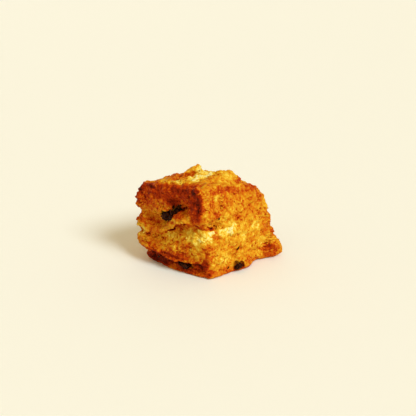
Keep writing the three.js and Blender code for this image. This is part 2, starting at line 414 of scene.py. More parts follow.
def grown(name, source, tree, sizes):
    """The mesh that a node tree makes from `source`, as a new plain object."""
    modifier = source.modifiers.new(tree.name, "NODES")
    modifier.node_group = tree
    for item in tree.interface.items_tree:
        if item.in_out == "INPUT" and item.name in sizes:
            modifier[item.identifier] = sizes[item.name]
    depsgraph = bpy.context.evaluated_depsgraph_get()
    mesh = bpy.data.meshes.new_from_object(source.evaluated_get(depsgraph))
    source.modifiers.remove(modifier)
    mesh.name = name
    return linked(name, mesh)


def geometry_tree(name, source, sizes):
    """A Geometry Nodes tree, its net of nodes, and its inputs: the geometry that it starts from,
    under the name `source`, and its named sizes."""
    tree = bpy.data.node_groups.new(name, "GeometryNodeTree")
    tree.interface.new_socket("Geometry", in_out="OUTPUT", socket_type="NodeSocketGeometry")
    tree.interface.new_socket(source, in_out="INPUT", socket_type="NodeSocketGeometry")
    for size in sizes:
        tree.interface.new_socket(size, in_out="INPUT", socket_type="NodeSocketFloat")
    net = Net(tree)
    entry = tree.nodes.new("NodeGroupInput")
    return tree, net, {key: Value(net, entry.outputs[key]) for key in (source, *sizes)}


def finish_tree(net, geometry, material):
    placed = net.node("GeometryNodeRealizeInstances", None, {"Geometry": geometry})
    smooth = net.node("GeometryNodeSetShadeSmooth", None, {"Geometry": placed})
    painted = net.node("GeometryNodeSetMaterial", None, {"Geometry": smooth, "Material": material})
    net.node("NodeGroupOutput", None, {"Geometry": painted})


def stored(net, geometry, name, value, kind="FLOAT"):
    return net.node(
        "GeometryNodeStoreNamedAttribute",
        {"data_type": kind, "domain": "POINT"},
        {"Geometry": geometry, "Name": name, "Value": value},
    )


def named(net, name, kind="FLOAT"):
    return net.node("GeometryNodeInputNamedAttribute", {"data_type": kind}, {"Name": name})


def object_mesh(net, thing):
    return net.node("GeometryNodeObjectInfo", None, {"Object": thing}, "Geometry")


def nearest(net, mesh, place):
    """The nearest point of a mesh's surface, in millimetres."""
    found = net.node(
        "GeometryNodeProximity",
        {"target_element": "FACES"},
        {"Geometry": mesh, "Sample Position": place * MM},
        "Position",
    )
    return found / MM


def sampled(net, mesh, name, place, kind="FLOAT"):
    """An attribute of the nearest point of a mesh's surface to a place in millimetres."""
    return net.node(
        "GeometryNodeSampleNearestSurface",
        {"data_type": kind},
        {"Mesh": mesh, "Value": named(net, name, kind), "Sample Position": place * MM},
    )


# ---------- The crust ----------


def signed_depth(net, place, shape):
    """How far a place lies inside a closed shape, less than 0 outside it, and which way the
    nearest skin faces. All in millimetres."""
    shape = stored(net, shape, "outward", net.node("GeometryNodeInputNormal"), "FLOAT_VECTOR")
    outward = sampled(net, shape, "outward", place, "FLOAT_VECTOR")
    offset = place - nearest(net, shape, place)
    side = net.maths("SIGN", net.maths("DOT_PRODUCT", offset, outward))
    return -(side * net.maths("LENGTH", offset)), outward


def patch_mask(net, place, patches):
    """The sum of soft ellipsoids at a place, each full inside 0.45 of its half sizes and gone
    outside 1.15 of them."""
    total = 0.0
    for middle, half, amount in patches:
        reach = net.maths("LENGTH", (place - middle) / half)
        total = total + net.step(reach, 1.15, 0.45) * amount
    return total


# Soft ellipsoids in the dough, each as its middle, its half sizes and how much.

# Where the dough has torn open and shows its crumb.
torn_places = [
    # the torn top
    ((-1.5, -20.3, 47.9), (6.5, 2.2, 3.0), 0.8),
    ((4.6, -15.5, 49.4), (4.5, 3.0, 3.0), 0.9),
    ((4.4, -9.4, 50.0), (4.4, 5.4, 4.0), 1.1),
    ((0.8, -2.6, 48.8), (7.0, 6.4, 4.5), 1.2),
    ((-3.5, -2.5, 48.8), (2.6, 4.0, 4.0), 0.9),
    ((-4.0, 4.0, 47.0), (6.0, 6.0, 3.5), 0.85),
    # the band under the main split, on the right wall and round the front edge, and a chip over it
    ((23.2, -4.6, 25.6), (4.0, 5.4, 3.8), 0.47),
    ((22.6, -9.8, 23.6), (4.0, 5.0, 2.6), 0.54),
    ((22.9, -4.0, 26.6), (3.0, 2.4, 2.2), 0.36),
    ((22.4, -6.6, 33.0), (2.0, 1.3, 1.2), 0.65),
    ((19.9, -20.6, 21.9), (5.2, 4.8, 3.2), 0.95),
    ((20.5, -16.8, 24.5), (2.8, 2.8, 1.5), 1.0),
    ((12.0, -23.0, 23.0), (8.0, 3.5, 2.6), 0.2),
    # chips out of the right wall's rim
    ((17.0, 10.3, 42.4), (2.4, 2.2, 1.6), 0.9),
    ((15.5, 5.5, 44.0), (2.0, 2.0, 1.2), 0.6),
    # the left and back walls
    ((-25.6, 2.0, 23.6), (4.0, 6.0, 2.4), 0.6),
    ((5.0, 26.6, 22.6), (6.0, 4.0, 2.6), 0.65),
    ((-9.0, 22.8, 24.5), (3.0, 4.0, 2.0), 0.5),
]

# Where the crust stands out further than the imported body, or less far, in millimetres.
thick_places = [
    # the lip over the main split, and the recess under it
    ((5.0, -27.0, 31.2), (9.0, 4.0, 2.4), 1.4),
    ((7.5, -25.0, 24.8), (8.5, 4.0, 2.8), -1.45),
    # the hollow above the raisins, and the dough over the end of the right one
    ((-0.5, -25.0, 37.4), (3.0, 3.5, 2.6), -1.6),
    ((4.8, -24.2, 33.4), (2.0, 2.2, 1.8), 1.8),
    # lobes at the left edge
    ((-22.0, -27.0, 24.8), (3.8, 4.8, 2.4), 1.8),
    ((-24.0, -30.0, 20.8), (5.0, 5.0, 2.8), 1.0),
    ((-23.0, -30.5, 12.5), (5.0, 5.0, 3.2), 0.7),
    # the shelf over the seam
    ((-10.0, -30.5, 10.0), (10.0, 4.0, 1.7), 1.1),
    # the dip before the torn top's crest
    ((-8.2, -12.2, 48.8), (3.2, 3.2, 2.6), -1.3),
    ((-10.9, -9.6, 48.6), (3.2, 3.2, 2.6), -1.6),
    ((-13.6, -7.2, 48.0), (3.2, 3.2, 2.6), -1.6),
    # the mound beside it
    ((10.7, 5.0, 48.0), (4.0, 5.0, 2.5), 0.6),
    ((12.0, 11.0, 46.0), (3.5, 3.0, 2.4), 0.8),
    # lobes and a notch at the right edge
    ((25.5, 22.0, 14.5), (4.0, 4.0, 2.4), 0.7),
    ((22.2, 23.2, 23.4), (3.0, 3.0, 3.0), 1.0),
    ((23.0, 23.4, 18.6), (3.0, 3.0, 1.6), -0.9),
    ((23.4, 25.0, 15.6), (3.0, 3.0, 1.8), 0.9),
    ((21.4, 22.0, 29.6), (2.4, 2.4, 2.0), 0.5),
]

# The palest of the torn flakes.
pale_places = [
    ((20.5, -16.8, 24.5), (2.4, 2.6, 1.3), 1.0),
    ((17.0, 10.3, 42.4), (2.4, 2.2, 1.6), 0.9),
    ((2.6, -7.0, 50.0), (5.0, 6.0, 3.0), 0.9),
    ((2.0, -1.5, 50.0), (4.0, 4.5, 2.6), 0.9),
    ((5.0, -13.5, 50.0), (3.0, 4.0, 2.0), 0.5),
]

# Where thin layers of dough stand out as ledges.
layered_places = [
    ((-12.0, -29.0, 12.0), (15.0, 5.0, 6.0), 1.0),
    ((-24.0, -29.0, 20.0), (6.0, 8.0, 6.0), 0.9),
    ((15.0, -23.0, 4.0), (12.0, 8.0, 4.5), 0.8),
    ((20.0, -17.0, 14.0), (8.0, 8.0, 4.0), 0.4),
    ((27.0, 22.0, 9.0), (6.0, 7.0, 8.0), 1.1),
    ((24.5, 25.0, 24.0), (6.0, 6.0, 12.0), 0.9),
    ((-27.0, 0.0, 16.0), (8.0, 24.0, 7.0), 0.9),
    ((0.0, 26.0, 10.0), (24.0, 8.0, 7.0), 0.8),
]

# How brown each place is against the rest. Some patches paint shade or light instead, where the comments
# below say so.
bake_and_light_places = [
    # the near wall's rim
    ((10.5, -19.4, 48.8), (3.0, 2.4, 2.0), 0.12),
    ((11.5, -21.0, 48.6), (4.6, 2.6, 1.8), 0.3),
    ((16.0, -23.3, 48.4), (4.0, 3.0, 1.6), 0.3),
    ((5.0, -21.8, 47.9), (5.5, 2.6, 1.6), 0.22),
    ((14.8, -24.0, 46.8), (2.2, 2.5, 1.6), 0.26),
    ((6.0, -24.5, 46.4), (11.0, 3.0, 2.6), 0.18),
    # the near wall, over the raisins
    ((-18.5, -27.0, 43.2), (6.0, 3.5, 1.3), 0.42),
    ((3.0, -26.0, 42.0), (22.0, 6.0, 9.0), 0.22),
    # painted shade along the front edge, on the side turned from the light, over a browner crust
    ((18.6, -23.6, 41.5), (2.6, 2.6, 10.0), 0.3),
    ((-24.5, -27.5, 41.0), (3.5, 4.0, 3.4), 0.34),
    # more painted shade along the front edge, over a browner crust
    ((16.0, -25.5, 40.0), (4.4, 4.0, 12.0), 0.16),
    ((-18.0, -27.0, 40.0), (9.0, 6.0, 7.0), 0.13),
    ((-26.0, -27.0, 38.0), (3.0, 5.0, 7.0), 0.16),
    # painted shade in the hollow above the raisins
    ((0.0, -25.0, 36.5), (4.0, 5.0, 4.0), 0.26),
    ((-24.0, -28.5, 35.5), (3.5, 4.0, 6.5), 0.14),
    # the near wall, from the raisins down to the main split
    ((17.5, -25.0, 33.0), (3.5, 4.0, 4.0), 0.14),
    ((-13.0, -28.5, 33.0), (9.0, 3.0, 4.0), 0.07),
    ((6.0, -25.4, 32.6), (3.4, 3.0, 2.2), 0.14),
    ((11.5, -25.3, 32.4), (3.0, 3.0, 2.2), -0.08),
    ((9.0, -26.0, 31.5), (9.0, 4.0, 3.6), 0.02),
    ((3.0, -25.8, 31.2), (3.0, 3.0, 1.6), 0.1),
    ((11.0, -26.0, 30.8), (5.0, 3.0, 3.0), -0.13),
    # a painted highlight along the lower edge of the lip
    ((5.5, -26.4, 29.1), (7.5, 4.0, 1.2), -0.26),
    ((-4.0, -27.5, 28.6), (3.5, 3.0, 2.0), 0.16),
    ((-13.4, -28.2, 28.0), (8.0, 5.0, 4.4), -0.1),
    # the near wall, from the main split down, where the recess shows pale crumb and its lighter patches
    # also paint light into the shade under the lip
    ((4.0, -26.9, 26.0), (2.8, 3.0, 2.0), -0.22),
    ((17.8, -20.6, 25.8), (4.0, 4.0, 2.4), -0.34),
    ((0.5, -26.5, 24.4), (3.4, 3.0, 1.8), -0.3),
    ((12.0, -23.5, 21.6), (8.0, 5.0, 4.0), -0.32),
    ((-18.3, -29.4, 20.6), (3.6, 3.0, 3.4), -0.16),
    ((-1.0, -26.5, 20.3), (7.5, 5.0, 4.6), -0.28),
    ((17.6, -23.4, 18.6), (3.2, 3.0, 4.0), -0.22),
    ((3.6, -27.6, 18.0), (4.5, 3.0, 6.0), -0.12),
    ((-22.0, -31.0, 17.5), (5.0, 4.0, 4.5), -0.34),
    # the near wall, over the seam, where the browner patches also paint the shade of the groove under the
    # shelf
    ((0.0, -28.0, 14.8), (6.0, 3.0, 2.8), -0.1),
    ((22.2, -20.0, 14.0), (2.8, 3.4, 6.0), 0.18),
    ((15.0, -23.8, 13.0), (3.6, 3.0, 8.0), -0.13),
    ((-6.0, -29.0, 12.5), (21.0, 6.0, 7.0), -0.07),
    ((15.2, -23.8, 12.2), (2.4, 3.0, 2.4), -0.08),
    ((-11.0, -30.0, 11.6), (4.5, 3.0, 4.0), 0.12),
    ((4.0, -28.4, 11.2), (8.0, 3.0, 2.8), 0.16),
    ((8.6, -26.4, 10.6), (6.0, 3.0, 2.0), 0.16),
    ((-2.0, -29.0, 9.0), (11.0, 3.0, 2.2), 0.28),
    ((4.0, -28.2, 8.4), (6.0, 3.0, 2.4), 0.12),
    ((-12.0, -29.6, 8.2), (7.0, 3.0, 2.2), 0.26),
    # the near wall's foot
    ((20.6, -21.4, 7.8), (3.0, 3.0, 3.0), 0.16),
    ((18.5, -21.8, 6.5), (4.5, 4.0, 3.4), 0.14),
    ((-4.0, -28.5, 5.6), (16.0, 6.0, 1.8), 0.22),
    ((15.0, -23.0, 5.0), (5.0, 4.0, 3.0), 0.16),
    ((18.0, -21.0, 3.0), (7.0, 6.0, 4.5), 0.18),
    ((-4.0, -27.0, 2.6), (22.0, 8.0, 4.0), 0.54),
    ((11.5, -24.5, 2.0), (4.0, 4.0, 2.5), 0.08),
    ((1.5, -25.5, 1.5), (6.0, 4.0, 2.5), -0.42),
    ((-8.0, -28.5, 0.4), (13.0, 5.0, 1.2), -0.24),
    # the right wall, up high
    ((18.6, -6.0, 46.0), (3.0, 14.0, 2.6), 0.2),
    ((20.3, -12.0, 42.0), (2.5, 5.0, 3.0), -0.2),
    ((22.0, -12.0, 40.0), (6.0, 12.0, 8.0), 0.12),
    ((20.8, 16.6, 36.0), (3.0, 3.5, 4.0), 0.12),
    ((23.5, 12.0, 34.0), (6.0, 9.0, 6.0), 0.08),
    ((21.8, -14.6, 33.4), (3.0, 4.0, 2.6), 0.14),
    # the right wall, half way down
    ((23.1, 0.5, 28.5), (3.0, 3.5, 2.5), 0.14),
    ((22.6, 15.5, 28.2), (2.5, 2.0, 1.2), 0.25),
    ((19.2, -17.0, 26.0), (2.5, 3.4, 1.0), 0.4),
    ((24.0, -6.0, 24.0), (6.0, 10.0, 6.0), -0.1),
    ((21.8, -14.6, 22.4), (3.0, 3.0, 2.4), 0.12),
    ((23.6, 12.0, 22.0), (3.0, 3.0, 2.6), -0.12),
    ((23.5, 25.0, 20.0), (4.0, 4.0, 8.0), 0.12),
    ((23.8, 13.0, 20.0), (3.0, 6.0, 6.0), -0.08),
    ((24.3, 3.0, 18.5), (3.0, 4.0, 3.5), -0.18),
    ((24.0, 18.0, 18.0), (3.0, 4.0, 4.5), 0.15),
    ((24.0, 22.5, 18.0), (3.0, 4.0, 5.0), 0.1),
    ((24.4, 10.0, 16.5), (3.0, 4.0, 3.5), 0.08),
    # the right wall, low down
    ((24.2, 16.5, 11.5), (3.0, 5.0, 3.4), -0.14),
    ((24.0, -11.0, 9.5), (3.0, 7.0, 3.0), -0.16),
    ((26.6, 20.6, 7.2), (1.3, 1.2, 3.4), 0.3),
    ((27.0, 21.5, 5.4), (5.5, 6.0, 6.0), 0.22),
    ((25.5, 6.0, 5.0), (3.0, 4.0, 2.5), 0.14),
    ((23.5, -14.0, 3.0), (4.0, 12.0, 2.5), 0.11),
    ((26.0, 5.0, 0.5), (8.0, 26.0, 3.5), 0.2),
    # the left and back walls
    ((-25.0, 0.0, 40.0), (6.0, 24.0, 7.0), 0.2),
    ((-25.5, 0.0, 21.5), (5.0, 14.0, 4.0), -0.16),
    ((-27.0, 0.0, 2.5), (6.0, 26.0, 4.0), 0.34),
    ((0.0, 21.0, 38.0), (24.0, 6.0, 6.0), 0.2),
    ((2.0, 25.0, 21.5), (14.0, 5.0, 4.0), -0.18),
    ((0.0, 28.0, 2.5), (26.0, 6.0, 4.0), 0.32),
    ((-21.5, 21.5, 22.0), (4.0, 4.0, 22.0), 0.16),
    # the top
    ((-8.0, -14.0, 47.0), (11.0, 13.0, 6.0), 0.14),
    ((10.7, 3.0, 47.6), (6.0, 8.0, 4.0), -0.15),
    ((11.5, -1.5, 49.5), (3.0, 4.0, 3.0), 0.1),
    ((17.6, -0.5, 44.0), (3.2, 4.6, 2.4), 0.24),
    ((17.0, 14.0, 41.0), (4.0, 8.0, 4.0), 0.2),
    ((12.4, 10.5, 45.0), (4.0, 4.0, 2.4), 0.16),
    ((19.4, 4.0, 41.0), (3.0, 6.0, 4.0), 0.14),
    ((-9.0, -22.2, 46.9), (8.0, 3.0, 2.4), -0.18),
    ((-6.6, -8.5, 50.2), (3.0, 5.0, 2.4), -0.22),
]

# Dark bits that stick to the crust, torn from raisins or burnt: the place and the size across.
bit_places = [
    # torn raisin skin in the crease
    ((-1.3, -25.6, 30.6), 3.7),
    ((-2.4, -25.3, 31.9), 2.4),
    ((-0.9, -26.2, 29.6), 4.0),
    ((-2.6, -26.6, 29.0), 2.4),
    ((0.3, -24.8, 32.8), 1.9),
    ((-0.2, -24.6, 34.6), 1.9),
    ((1.6, -24.0, 35.3), 1.6),
    ((3.4, -23.0, 36.2), 1.3),
    ((-4.2, -25.6, 31.6), 1.5),
    # specks on the right wall, and the scrap at the end of the main split
    ((21.6, -13.0, 32.2), 1.7),
    ((24.0, -0.9, 12.4), 1.9),
    ((18.9, -15.6, 26.9), 1.2),
    ((24.0, -8.2, 3.4), 1.4),
    # scraps in the seam, and a speck at the front corner
    ((-12.0, -30.5, 6.6), 1.4),
    ((-7.5, -29.5, 5.8), 1.8),
    ((22.4, -20.0, 2.4), 0.9),
    # the left and back walls
    ((-24.0, 6.0, 33.0), 1.2),
    ((6.0, 24.0, 14.0), 1.2),
]


def dough_relief(net, place, wander, height, facing_up, torn, given):
    """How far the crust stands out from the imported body."""
    bent = place + wander * 4.0
    coarse = net.noise(place, 6.0, 2.0) - 0.5
    granules = 0.36 - net.lumps(place + wander * 2.5, 3.4, 0.45)
    crumbs = 0.36 - net.lumps(place + wander * 1.5, 1.5, 0.3)
    curls = 0.7 - abs(net.noise(bent, 2.8, 1.2, distortion=0.9) * 4.0 - 2.0)
    flat = place * (0.16, 0.16, 1.0) + wander * (0.0, 0.0, 1.6)
    streaks = net.noise(flat, LAYER, 1.0) - 0.5
    pits = net.step(net.noise(place + (31, 7, 11), 2.4, 1.0), 0.58, 0.78)

    # The thin layers lie at a slant and wander, and each stands out most at its lower edge.
    level = net.part(place, "X") * 0.12 + height + net.noise(place, 7.0, 1.0) * 5.0
    ledges = 0.5 - net.maths("FRACT", level / LAYER)
    layered = patch_mask(net, bent, layered_places) * net.step(net.noise(place, 4.5, 1.0), 0.4, 0.56)
    return (
        coarse * given["Coarse"]
        + granules * given["Granules"] * (1.0 - facing_up * 0.3)
        + crumbs * given["Crumbs"] * (0.6 + torn * 4.0)
        + curls * given["Curls"] * (1.0 - facing_up * 0.5)
        + streaks * given["Streaks"] * (1.0 - facing_up)
        + ledges * given["Ledges"] * layered
        - pits * given["Pits"]
        - DRAWN_IN
    )


def split_fields(net, place, sheets):
    """How far a place is from the nearest split, less than 0 in it, and how far the layer above
    the split stands out as a lip."""
    sheet = object_mesh(net, sheets)
    mouth = nearest(net, sheet, place)
    aside = place - mouth
    away = net.maths("LENGTH", aside)
    over = net.step(net.part(aside, "Z"), 0.0, 0.6)
    lip = over * sampled(net, sheet, "lip", place) * (1.0 - net.step(away, 1.0, 3.4))
    return away - sampled(net, sheet, "half", place), lip


def without_loose_bits(net, skin):
    """Drops the islands that hang free of the largest one."""
    island = net.node("GeometryNodeInputMeshIsland", None, None, "Island Index")
    points = {"data_type": "FLOAT", "domain": "POINT"}
    counted = {"Value": 1.0, "Group ID": island}
    size = net.node("GeometryNodeAccumulateField", points, counted, "Total")
    measured = {"Geometry": skin, "Attribute": size}
    largest = net.node("GeometryNodeAttributeStatistic", points, measured, "Max")
    less = {"data_type": "FLOAT", "operation": "LESS_THAN"}
    loose = net.node("FunctionNodeCompare", less, {"A": size, "B": largest - 0.5})
    dropped = {"Geometry": skin, "Selection": loose}
    return net.node("GeometryNodeDeleteGeometry", {"domain": "POINT"}, dropped)


def flap_field(net, place, sheets):
    """How deep a place is inside the nearest flap, less than 0 outside it."""
    sheet = object_mesh(net, sheets)
    away = net.maths("LENGTH", place - nearest(net, sheet, place))
    return sampled(net, sheet, "half", place) - away


def crust_tree(material, raisins, split_sheets, flap_sheets):
    """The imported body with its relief, lips and flaps grown on, its splits cut in, and room for
    the raisins. It stores what the colours follow at each point."""
    tree, net, given = geometry_tree("crust", "Body", relief_heights)
    rounded = net.node("GeometryNodeSubdivisionSurface", None, {"Mesh": given["Body"], "Level": 1})
    place = net.node("GeometryNodeInputPosition") / MM
    depth, outward = signed_depth(net, place, rounded)
    height = net.part(place, "Z")
    facing_up = net.step(net.part(outward, "Z"), 0.3, 0.8)
    wander = net.noise(place, 4.0, out="Color") - (0.5, 0.5, 0.5)
    bent = place + wander * 4.0
    ragged = net.noise(place, 2.4, 3.0, 0.65, 0.5) - 0.5
    torn_here = patch_mask(net, place + wander * 2.0, torn_places) + ragged * 1.8
    torn = net.step(torn_here, 0.42, 0.62)

    relief = dough_relief(net, place, wander, height, facing_up, torn, given)
    thick = patch_mask(net, place + wander * 2.0, thick_places)
    split, lip = split_fields(net, bent, split_sheets)
    flap = flap_field(net, place + wander * 3.0, flap_sheets) + ragged * 1.4
    off_the_floor = net.step(height, 0.0, 4.0)
    solid = depth + relief * (0.25 + off_the_floor * 0.75) + thick + lip
    solid = net.maths("MAXIMUM", solid, flap)
    outside_raisins = -signed_depth(net, place, object_mesh(net, raisins))[0] - RAISIN_CLEARANCE
    for limit in (split, outside_raisins, height):
        solid = net.maths("MINIMUM", solid, limit)

    low, high = cad_box
    spans = [(b - a) / MM + 2 * MARGIN for a, b in zip(low, high)]
    volume = net.node(
        "GeometryNodeVolumeCube",
        None,
        {
            "Density": net.clamp(solid, -DEEPEST, DEEPEST),
            "Background": -DEEPEST,
            "Min": tuple(value - MARGIN * MM for value in low),
            "Max": tuple(value + MARGIN * MM for value in high),
            **{"Resolution " + axis: round(span / VOXEL) for axis, span in zip("XYZ", spans)},
        },
    )
    at_the_skin = {"Volume": volume, "Threshold": 0.0, "Adaptivity": 0.0}
    skin = without_loose_bits(net, net.node("GeometryNodeVolumeToMesh", None, at_the_skin))

    # "proud" is how far a point stands out of the skin round it, "swell" how far that skin stands
    # out of its wider surroundings, and "under" how far a point looks down where the body behind
    # it doesn't. The near wall is browner, partly from its bake and partly as painted shade on the
    # side turned from the light, and the top has baked a little browner than the rest.
    proud = -depth
    around, wide = (
        net.node("GeometryNodeBlurAttribute", {"data_type": "FLOAT"}, {"Value": proud, "Iterations": steps})
        for steps in (10, 60)
    )
    near_wall = net.step(net.part(outward, "Y"), -0.35, -0.8)
    own_way = net.node("GeometryNodeInputNormal")
    looks = {
        "proud": proud - around,
        "swell": around - wide,
        "under": net.step(net.part(outward - own_way, "Z"), 0.25, 1.1),
        "torn": net.step(torn_here, 0.25, 0.8),
        "pale": patch_mask(net, bent, pale_places),
        "flaky": patch_mask(net, bent, layered_places) + near_wall * 0.3,
        "inside": 1.0 - net.step(split, 0.0, 0.8),
        "browned": 0.375 + near_wall * 0.155 + facing_up * 0.04 + patch_mask(net, bent, bake_and_light_places),
    }
    for name, value in looks.items():
        skin = stored(net, skin, name, value)
    finish_tree(net, skin, material)
    return tree


def dough_material():
    material = bpy.data.materials.new("baked dough")
    material.use_nodes = True
    tree = material.node_tree
    tree.nodes.clear()
    net = Net(tree)
    place = net.node("ShaderNodeTexCoord", None, None, "Object") / MM

    def attribute(name):
        return net.node("ShaderNodeAttribute", {"attribute_name": name}, None, "Fac")

    # Each pattern starts from a place of its own, so that no two follow each other.
    torn = attribute("torn")
    proud = attribute("proud")
    swirl = net.noise(place, 2.7, 2.5, 0.55, 1.2) - 0.5
    cloud = net.noise(place, 5.0, 2.0, 0.5) - 0.5
    strata = net.noise(place * (0.14, 0.14, 1.0) + (swirl + cloud) * 1.5, 1.1, 1.5) - 0.5
    drift = place + (net.noise(place, 1.6, 2.0, out="Color") - (0.5, 0.5, 0.5)) * 1.6
    grains = {"Color": net.cell_colour(drift, 1.15)}
    crumb = net.node("ShaderNodeSeparateColor", None, grains, "Red") - 0.5
    fleck = net.noise(place + (5, 13, 2), 1.4, 1.0, 0.5, 0.6) - 0.5
    spots = net.step(net.noise(place + (3, 17, 5), 1.7, 1.0, 0.5, 0.8), 0.64, 0.74)
    bend = abs(net.noise(place + (9, 2, 14), 3.2, 1.5, 0.5, 1.4) * 4.0 - 2.0)
    folds = net.step(bend, 0.30, 0.05) * net.step(net.noise(place + (2, 8, 21), 5.0, 1.0), 0.44, 0.56)
    glints = net.step(net.noise(place + (23, 1, 9), 1.5, 1.0, 0.5, 0.8), 0.62, 0.74)
    # 0 is pale crumb and 1 is burnt. Besides the crust's own tones, it takes painted light: highlights on
    # what stands out, and shade in hollows, under overhangs and in splits.
    browned = (
        attribute("browned")
        + cloud * 0.22
        + swirl * 0.54
        + fleck * (0.40 + torn * 0.45)
        + folds * 0.14
        + crumb * 0.10
        + spots * 0.20
        - glints * 0.16
        + attribute("swell") * 0.10
        # painted light on the relief: a painted highlight where a point stands out, and painted shade in
        # the hollows
        - proud * 0.20
        + net.clamp(-proud) * 0.60
        # painted shade on the undersides
        + attribute("under") * 0.16
        - torn * 0.34
        - attribute("pale") * 0.25
        # painted shade inside the splits
        + attribute("inside") * 0.42
        + strata * (0.10 + attribute("flaky") * 0.35)
    )
    # Both ends are drawn in, so that little is burnt or white.
    too_brown = net.maths("MAXIMUM", browned - 0.75, 0.0)
    too_pale = net.maths("MAXIMUM", 0.10 - browned, 0.0)
    browned = browned + (too_pale - too_brown) * 0.6
    colour = net.node(
        "ShaderNodeValToRGB",
        {
            "stops": [
                (0.0, (0.87, 0.76, 0.34, 1)),
                (0.07, (0.84, 0.65, 0.12, 1)),
                (0.17, (0.78, 0.51, 0.042, 1)),
                (0.35, (0.67, 0.315, 0.012, 1)),
                (0.50, (0.59, 0.18, 0.005, 1)),
                (0.65, (0.50, 0.074, 0.002, 1)),
                (0.76, (0.38, 0.032, 0.001, 1)),
                (0.84, (0.22, 0.014, 0.001, 1)),
                (0.94, (0.09, 0.007, 0.001, 1)),
                (1.0, (0.04, 0.005, 0.002, 1)),
            ]
        },
        {"Fac": net.clamp(browned)},
    )
    grain = {"Strength": 1.0, "Distance": 0.08 * MM, "Height": net.noise(place, 0.9, 3.0, 0.55)}
    bump = net.node("ShaderNodeBump", None, grain, "Normal")
    shader = net.node(
        "ShaderNodeBsdfPrincipled",
        None,
        {
            "Base Color": colour,
            "Roughness": net.clamp(0.5 + torn * 0.3 + cloud * 0.4, 0.3, 1.0),
            "Specular IOR Level": 0.03,
            "Normal": bump,
        },
    )
    net.node("ShaderNodeOutputMaterial", None, {"Surface": shader})
    return material


# ---------- Crumbs and flakes on the crust ----------


def scattered(net, crust, density, seed):
    """Points on the crust, off its foot, and the way out of it at each."""
    clear_of_foot = net.step(net.part(net.node("GeometryNodeInputPosition"), "Z") / MM, 1.0, 2.5)
    settings = {"distribute_method": "RANDOM"}
    values = {"Mesh": crust, "Density": density * clear_of_foot / MM**2, "Seed": seed}
    node = net.node("GeometryNodeDistributePointsOnFaces", settings, values, "Points")
    outputs = node.socket.node.outputs
    return node, Value(net, outputs["Normal"]), Value(net, outputs["Rotation"])


def random_size(net, given, crowding):
    """A size between the smallest and the largest; the higher the crowding, the more small ones."""
    return given["Smallest"] + (given["Largest"] - given["Smallest"]) * net.random(0.0, 1.0, 1) ** crowding


def any_turn(net, seed):
    angles = net.random((0, 0, 0), (FULL_TURN, FULL_TURN, FULL_TURN), seed)
    return net.node("FunctionNodeEulerToRotation", None, {"Euler": angles})


def small_ball(net, subdivisions):
    values = {"Radius": 0.5 * MM, "Subdivisions": subdivisions}
    return net.node("GeometryNodeMeshIcoSphere", None, values, "Mesh")


def crumb_tree(material):
    """Grains of dough half sunk in the crust, more of them where it is torn."""
    tree, net, given = geometry_tree("crumbs", "Crust", crumb_sizes)
    density = given["Density"] * (0.8 + named(net, "torn") * 2.0)
    points, outward, _ = scattered(net, given["Crust"], density, 5)
    size = random_size(net, given, 3)
    sunk = {"Geometry": points, "Offset": outward * size * (0.08 * MM)}
    points = net.node("GeometryNodeSetPosition", None, sunk)
    points = stored(net, points, "browned", named(net, "browned") + net.random(-0.22, 0.24, 2))
    crumbs = net.node(
        "GeometryNodeInstanceOnPoints",
        None,
        {
            "Points": points,
            "Instance": small_ball(net, 1),
            "Rotation": any_turn(net, 3),
            "Scale": net.random((0.6, 0.6, 0.5), (1.3, 1.0, 0.8), 4) * size,
        },
    )
    finish_tree(net, crumbs, material)
    return tree


def flake_mesh():
    """A thin curled plate with a ragged outline, one millimetre across."""
    reaches = [0.50, 0.38, 0.52, 0.42, 0.36, 0.50, 0.34]
    narrow = 0.7
    half_thick = 0.06
    curl = 0.9

    def curled(x, y, side):
        return (x * MM, y * MM, (curl * x * x + side * half_thick) * MM)

    outline = []
    for index, reach in enumerate(reaches):
        angle = index * 2 * pi / len(reaches)
        outline.append((reach * cos(angle), narrow * reach * sin(angle)))
    top = [curled(x, y, 1) for x, y in outline]
    bottom = [curled(x, y, -1) for x, y in outline]
    count = len(outline)
    faces = []
    for index in range(count):
        following = (index + 1) % count
        faces.append((2 * count, index, following))
        faces.append((2 * count + 1, count + following, count + index))
        faces.append((index, count + index, count + following, following))
    mesh = bpy.data.meshes.new("flake")
    mesh.from_pydata(top + bottom + [curled(0, 0, 1), curled(0, 0, -1)], [], faces)
    return linked("flake", mesh)


def flake_tree(material, flake):
    """Thin flakes of crust that have half come away, mostly where its layers show."""
    tree, net, given = geometry_tree("flakes", "Crust", flake_sizes)
    density = given["Density"] * (0.12 + named(net, "flaky") + named(net, "torn") * 0.8)
    points, _, aligned = scattered(net, given["Crust"], density, 8)
    points = stored(net, points, "browned", named(net, "browned") + net.random(-0.20, 0.16, 2))
    tilt = {axis: net.random(-1.0, 1.0, seed) * given["Lift"] for axis, seed in (("X", 3), ("Y", 5))}
    spin = {"Z": net.random(0.0, FULL_TURN, 6)}
    turn = aligned
    for angles in (tilt, spin):
        euler = net.node("ShaderNodeCombineXYZ", None, angles)
        by = net.node("FunctionNodeEulerToRotation", None, {"Euler": euler})
        values = {"Rotation": turn, "Rotate By": by}
        turn = net.node("FunctionNodeRotateRotation", {"rotation_space": "LOCAL"}, values)
    flakes = net.node(
        "GeometryNodeInstanceOnPoints",
        None,
        {
            "Points": points,
            "Instance": object_mesh(net, flake),
            "Rotation": turn,
            "Scale": random_size(net, given, 2) * net.random((0.9, 0.6, 1.0), (1.2, 1.1, 1.0), 7),
        },
    )
    finish_tree(net, flakes, material)
    return tree


# ---------- Raisins and dark bits ----------


